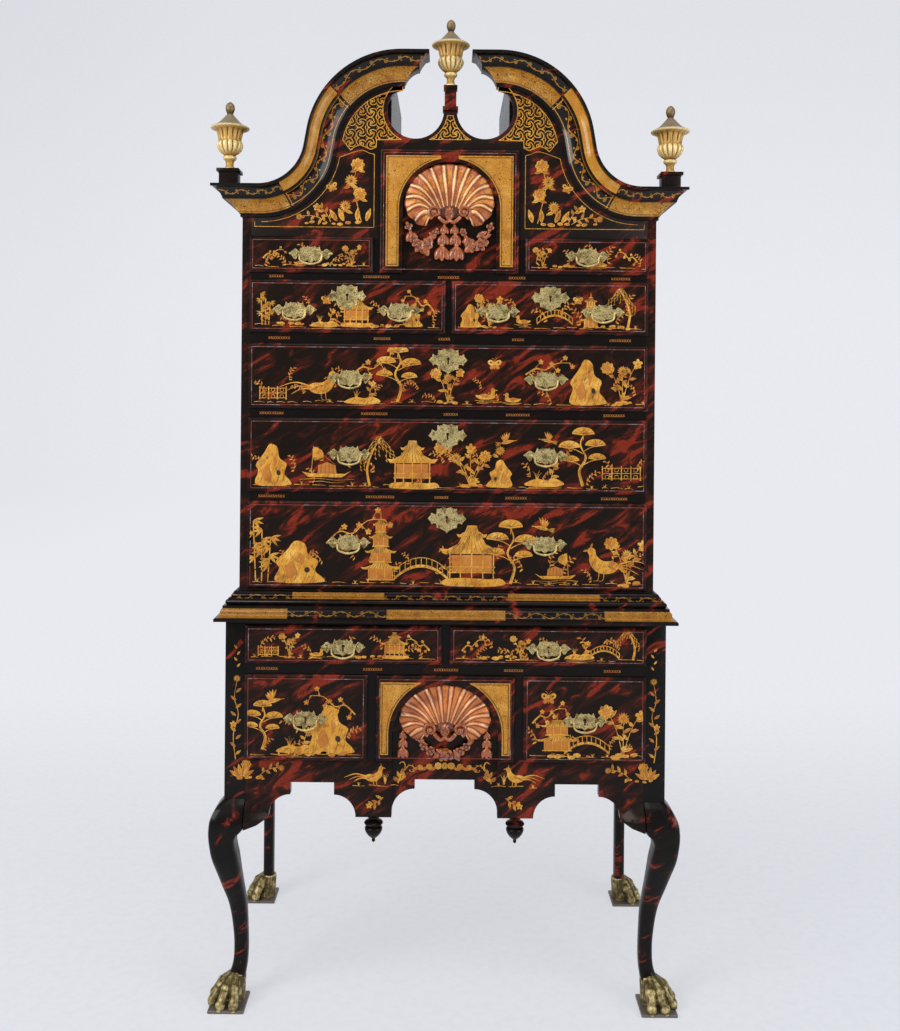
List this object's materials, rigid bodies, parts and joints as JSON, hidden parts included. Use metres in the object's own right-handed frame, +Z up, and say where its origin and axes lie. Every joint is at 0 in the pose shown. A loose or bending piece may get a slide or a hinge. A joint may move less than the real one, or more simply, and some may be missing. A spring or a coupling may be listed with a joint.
{
  "type": "highboy",
  "caption": "Tall bonnet-top chest of drawers on a cabriole-legged stand, japanned, with carved shells, finials and brass pulls.",
  "frame": {"origin": "on the floor under the middle of the piece's overall box", "axes": "+Z up, the front faces -Y, +X to the right of someone facing the front"},
  "size_m": [1.173, 0.6331, 2.43],
  "materials": {
    "japanned": "gloss",
    "gilding": "satin",
    "brass": "satin",
    "pine": "matt",
    "varnished_carving": "satin"
  },
  "bodies": {
    "case": {"front_leg_left": "japanned", "front_leg_right": "japanned", "rear_leg_left": "japanned", "rear_leg_right": "japanned", "knee_brackets": "japanned", "front_apron": "japanned", "drop_finials": "varnished_carving", "stand_side_left": "japanned", "stand_side_right": "japanned", "stand_back": "pine", "stand_blades": "japanned", "stand_runners": "pine", "waist_moulding": "japanned", "upper_base_moulding": "japanned", "upper_side_left": "japanned", "upper_side_right": "japanned", "upper_back": "pine", "upper_bottom": "pine", "upper_blades": "japanned", "upper_runners": "pine", "tympanum": "japanned", "crown_left": "japanned", "crown_right": "japanned", "crown_returns": "japanned", "hood": "japanned", "finial_plinths": "japanned", "finial_left": "gilding", "finial_centre": "gilding", "finial_right": "gilding"},
    "small_drawer_left": {"small_drawer_left": "japanned"},
    "bail_small_drawer_left": {"bail_small_drawer_left": "brass"},
    "small_drawer_right": {"small_drawer_right": "japanned"},
    "bail_small_drawer_right": {"bail_small_drawer_right": "brass"},
    "upper_shell_drawer": {"upper_shell_drawer": "japanned", "upper_shell_carving": "gilding"},
    "half_drawer_left": {"half_drawer_left": "japanned"},
    "bail_half_drawer_left_1": {"bail_half_drawer_left_1": "brass"},
    "bail_half_drawer_left_2": {"bail_half_drawer_left_2": "brass"},
    "half_drawer_right": {"half_drawer_right": "japanned"},
    "bail_half_drawer_right_1": {"bail_half_drawer_right_1": "brass"},
    "bail_half_drawer_right_2": {"bail_half_drawer_right_2": "brass"},
    "long_drawer_top": {"long_drawer_top": "japanned"},
    "bail_long_drawer_top_1": {"bail_long_drawer_top_1": "brass"},
    "bail_long_drawer_top_2": {"bail_long_drawer_top_2": "brass"},
    "long_drawer_middle": {"long_drawer_middle": "japanned"},
    "bail_long_drawer_middle_1": {"bail_long_drawer_middle_1": "brass"},
    "bail_long_drawer_middle_2": {"bail_long_drawer_middle_2": "brass"},
    "long_drawer_bottom": {"long_drawer_bottom": "japanned"},
    "bail_long_drawer_bottom_1": {"bail_long_drawer_bottom_1": "brass"},
    "bail_long_drawer_bottom_2": {"bail_long_drawer_bottom_2": "brass"},
    "stand_top_drawer_left": {"stand_top_drawer_left": "japanned"},
    "bail_stand_top_drawer_left": {"bail_stand_top_drawer_left": "brass"},
    "stand_top_drawer_right": {"stand_top_drawer_right": "japanned"},
    "bail_stand_top_drawer_right": {"bail_stand_top_drawer_right": "brass"},
    "stand_side_drawer_left": {"stand_side_drawer_left": "japanned"},
    "bail_stand_side_drawer_left": {"bail_stand_side_drawer_left": "brass"},
    "stand_side_drawer_right": {"stand_side_drawer_right": "japanned"},
    "bail_stand_side_drawer_right": {"bail_stand_side_drawer_right": "brass"},
    "stand_shell_drawer": {"stand_shell_drawer": "japanned", "stand_shell_carving": "varnished_carving"}
  },
  "joints": [
    {"name": "small_drawer_left_slide", "type": "slide", "parent": "case", "child": "small_drawer_left", "axis": [0, -1, 0], "range_m": [0, 0.36]},
    {"name": "bail_small_drawer_left_hinge", "type": "hinge", "parent": "small_drawer_left", "child": "bail_small_drawer_left", "pos_m": [-0.3407, -0.25955, 1.84225], "axis": [-1, 0, 0], "range_deg": [0, 90]},
    {"name": "small_drawer_right_slide", "type": "slide", "parent": "case", "child": "small_drawer_right", "axis": [0, -1, 0], "range_m": [0, 0.36]},
    {"name": "bail_small_drawer_right_hinge", "type": "hinge", "parent": "small_drawer_right", "child": "bail_small_drawer_right", "pos_m": [0.3407, -0.25955, 1.84225], "axis": [-1, 0, 0], "range_deg": [0, 90]},
    {"name": "upper_shell_drawer_slide", "type": "slide", "parent": "case", "child": "upper_shell_drawer", "axis": [0, -1, 0], "range_m": [0, 0.36]},
    {"name": "half_drawer_left_slide", "type": "slide", "parent": "case", "child": "half_drawer_left", "axis": [0, -1, 0], "range_m": [0, 0.36]},
    {"name": "bail_half_drawer_left_1_hinge", "type": "hinge", "parent": "half_drawer_left", "child": "bail_half_drawer_left_1", "pos_m": [-0.38, -0.25955, 1.704], "axis": [-1, 0, 0], "range_deg": [0, 90]},
    {"name": "bail_half_drawer_left_2_hinge", "type": "hinge", "parent": "half_drawer_left", "child": "bail_half_drawer_left_2", "pos_m": [-0.121, -0.25955, 1.704], "axis": [-1, 0, 0], "range_deg": [0, 90]},
    {"name": "half_drawer_right_slide", "type": "slide", "parent": "case", "child": "half_drawer_right", "axis": [0, -1, 0], "range_m": [0, 0.36]},
    {"name": "bail_half_drawer_right_1_hinge", "type": "hinge", "parent": "half_drawer_right", "child": "bail_half_drawer_right_1", "pos_m": [0.121, -0.25955, 1.704], "axis": [-1, 0, 0], "range_deg": [0, 90]},
    {"name": "bail_half_drawer_right_2_hinge", "type": "hinge", "parent": "half_drawer_right", "child": "bail_half_drawer_right_2", "pos_m": [0.38, -0.25955, 1.704], "axis": [-1, 0, 0], "range_deg": [0, 90]},
    {"name": "long_drawer_top_slide", "type": "slide", "parent": "case", "child": "long_drawer_top", "axis": [0, -1, 0], "range_m": [0, 0.36]},
    {"name": "bail_long_drawer_top_1_hinge", "type": "hinge", "parent": "long_drawer_top", "child": "bail_long_drawer_top_1", "pos_m": [-0.242, -0.25955, 1.5376], "axis": [-1, 0, 0], "range_deg": [0, 90]},
    {"name": "bail_long_drawer_top_2_hinge", "type": "hinge", "parent": "long_drawer_top", "child": "bail_long_drawer_top_2", "pos_m": [0.242, -0.25955, 1.5376], "axis": [-1, 0, 0], "range_deg": [0, 90]},
    {"name": "long_drawer_middle_slide", "type": "slide", "parent": "case", "child": "long_drawer_middle", "axis": [0, -1, 0], "range_m": [0, 0.36]},
    {"name": "bail_long_drawer_middle_1_hinge", "type": "hinge", "parent": "long_drawer_middle", "child": "bail_long_drawer_middle_1", "pos_m": [-0.242, -0.25955, 1.34945], "axis": [-1, 0, 0], "range_deg": [0, 90]},
    {"name": "bail_long_drawer_middle_2_hinge", "type": "hinge", "parent": "long_drawer_middle", "child": "bail_long_drawer_middle_2", "pos_m": [0.242, -0.25955, 1.34945], "axis": [-1, 0, 0], "range_deg": [0, 90]},
    {"name": "long_drawer_bottom_slide", "type": "slide", "parent": "case", "child": "long_drawer_bottom", "axis": [0, -1, 0], "range_m": [0, 0.36]},
    {"name": "bail_long_drawer_bottom_1_hinge", "type": "hinge", "parent": "long_drawer_bottom", "child": "bail_long_drawer_bottom_1", "pos_m": [-0.242, -0.25955, 1.13155], "axis": [-1, 0, 0], "range_deg": [0, 90]},
    {"name": "bail_long_drawer_bottom_2_hinge", "type": "hinge", "parent": "long_drawer_bottom", "child": "bail_long_drawer_bottom_2", "pos_m": [0.242, -0.25955, 1.13155], "axis": [-1, 0, 0], "range_deg": [0, 90]},
    {"name": "stand_top_drawer_left_slide", "type": "slide", "parent": "case", "child": "stand_top_drawer_left", "axis": [0, -1, 0], "range_m": [0, 0.36]},
    {"name": "bail_stand_top_drawer_left_hinge", "type": "hinge", "parent": "stand_top_drawer_left", "child": "bail_stand_top_drawer_left", "pos_m": [-0.2505, -0.28755, 0.8805], "axis": [-1, 0, 0], "range_deg": [0, 90]},
    {"name": "stand_top_drawer_right_slide", "type": "slide", "parent": "case", "child": "stand_top_drawer_right", "axis": [0, -1, 0], "range_m": [0, 0.36]},
    {"name": "bail_stand_top_drawer_right_hinge", "type": "hinge", "parent": "stand_top_drawer_right", "child": "bail_stand_top_drawer_right", "pos_m": [0.2505, -0.28755, 0.8805], "axis": [-1, 0, 0], "range_deg": [0, 90]},
    {"name": "stand_side_drawer_left_slide", "type": "slide", "parent": "case", "child": "stand_side_drawer_left", "axis": [0, -1, 0], "range_m": [0, 0.36]},
    {"name": "bail_stand_side_drawer_left_hinge", "type": "hinge", "parent": "stand_side_drawer_left", "child": "bail_stand_side_drawer_left", "pos_m": [-0.34065, -0.28755, 0.705], "axis": [-1, 0, 0], "range_deg": [0, 90]},
    {"name": "stand_side_drawer_right_slide", "type": "slide", "parent": "case", "child": "stand_side_drawer_right", "axis": [0, -1, 0], "range_m": [0, 0.36]},
    {"name": "bail_stand_side_drawer_right_hinge", "type": "hinge", "parent": "stand_side_drawer_right", "child": "bail_stand_side_drawer_right", "pos_m": [0.34065, -0.28755, 0.705], "axis": [-1, 0, 0], "range_deg": [0, 90]},
    {"name": "stand_shell_drawer_slide", "type": "slide", "parent": "case", "child": "stand_shell_drawer", "axis": [0, -1, 0], "range_m": [0, 0.36]}
  ]
}
